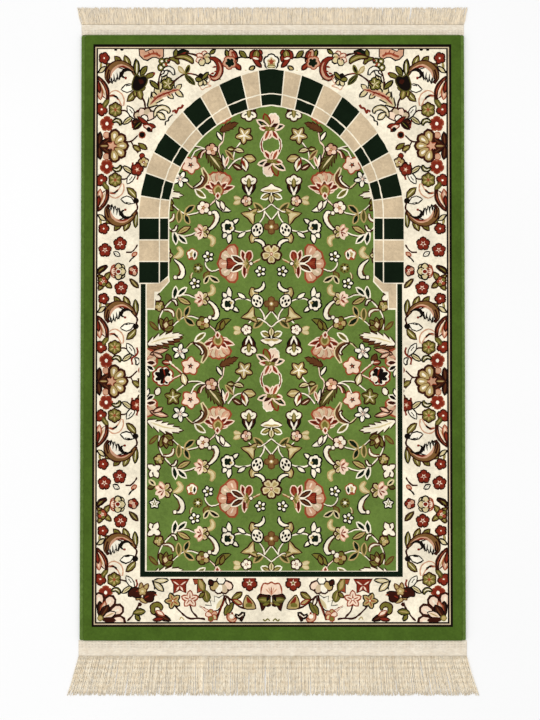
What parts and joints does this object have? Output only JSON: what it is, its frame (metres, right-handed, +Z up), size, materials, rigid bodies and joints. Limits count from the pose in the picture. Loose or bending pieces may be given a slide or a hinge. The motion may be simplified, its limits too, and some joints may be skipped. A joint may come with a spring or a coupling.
{
  "type": "prayer rug",
  "caption": "Flat rectangular pile prayer rug with a niche arch, flowered borders, overcast long sides, woven headings and a yarn fringe across each end; it lies on its back.",
  "frame": {"origin": "on the floor under the middle of the rug's whole outline, fringes included", "axes": "+X to the right across the rug, +Y along it towards the end that the arch points to, +Z up out of the pile"},
  "size_m": [0.7512, 1.2552, 0.007],
  "materials": {
    "pile": "short cut pile in many yarn colours",
    "overcast": "closely wrapped green yarn",
    "heading": "flat woven cotton tape",
    "fringe": "loose twisted cotton yarn"
  },
  "bodies": {
    "root": {"pile_panel": "pile", "overcast_left": "overcast", "overcast_right": "overcast", "heading_near": "heading", "heading_far": "heading", "fringe_near": "fringe", "fringe_far": "fringe"}
  },
  "joints": []
}
